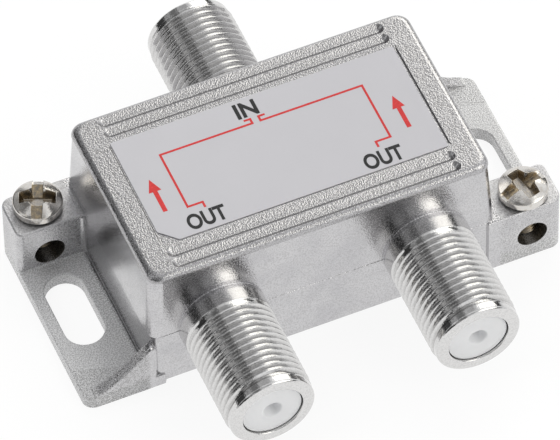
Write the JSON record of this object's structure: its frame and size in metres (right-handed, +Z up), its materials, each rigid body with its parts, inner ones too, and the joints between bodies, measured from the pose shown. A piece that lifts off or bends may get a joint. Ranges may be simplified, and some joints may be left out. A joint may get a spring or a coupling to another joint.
{
  "type": "coaxial splitter",
  "caption": "Die-cast coaxial splitter box with threaded input and output ports, slotted fixing ears, ground-wire screws and the circuit inside.",
  "frame": {"origin": "centre of the bounding box's underside, on the surface that the ears stand on", "axes": "+X from the left ear to the right ear, +Y towards the input port, +Z up through the label"},
  "size_m": [0.0528, 0.049, 0.0168],
  "materials": {
    "casting": "satin nickel plating with a fine cast grain",
    "cover_plate": "tinned sheet",
    "label_sheet": "matt silver-grey with printed lines",
    "screw_metal": "bright nickel plating",
    "plug_plastic": "white, moulded",
    "contact_metal": "tinned spring bronze",
    "board_laminate": "bare laminate",
    "ferrite": "dark sintered",
    "enamelled_wire": "enamelled copper",
    "disc_ceramic": "dipped coating",
    "resistor_body": "lacquered",
    "diode_body": "moulded epoxy",
    "choke_body": "lacquered"
  },
  "bodies": {
    "splitter_body": {"housing": "casting", "back_cover": "cover_plate", "label": "label_sheet", "input_insulator": "plug_plastic", "output_insulator_left": "plug_plastic", "output_insulator_right": "plug_plastic", "input_contact": "contact_metal", "output_contact_left": "contact_metal", "output_contact_right": "contact_metal", "circuit_board": "board_laminate", "matching_core": "ferrite", "matching_winding": "enamelled_wire", "divider_core": "ferrite", "divider_winding": "enamelled_wire", "balance_resistor": "resistor_body", "matching_capacitor": "disc_ceramic", "input_capacitor": "disc_ceramic", "output_capacitor_left": "disc_ceramic", "output_capacitor_right": "disc_ceramic", "diode_left": "diode_body", "diode_right": "diode_body", "choke_left": "choke_body", "choke_right": "choke_body"},
    "screw_left": {"ground_screw_left": "screw_metal"},
    "screw_right": {"ground_screw_right": "screw_metal"}
  },
  "joints": [
    {"name": "ground_screw_left_travel", "type": "slide", "parent": "splitter_body", "child": "screw_left", "axis": [0, 0, 1], "range_m": [0, 0.0035]},
    {"name": "ground_screw_right_travel", "type": "slide", "parent": "splitter_body", "child": "screw_right", "axis": [0, 0, 1], "range_m": [0, 0.0035]}
  ]
}
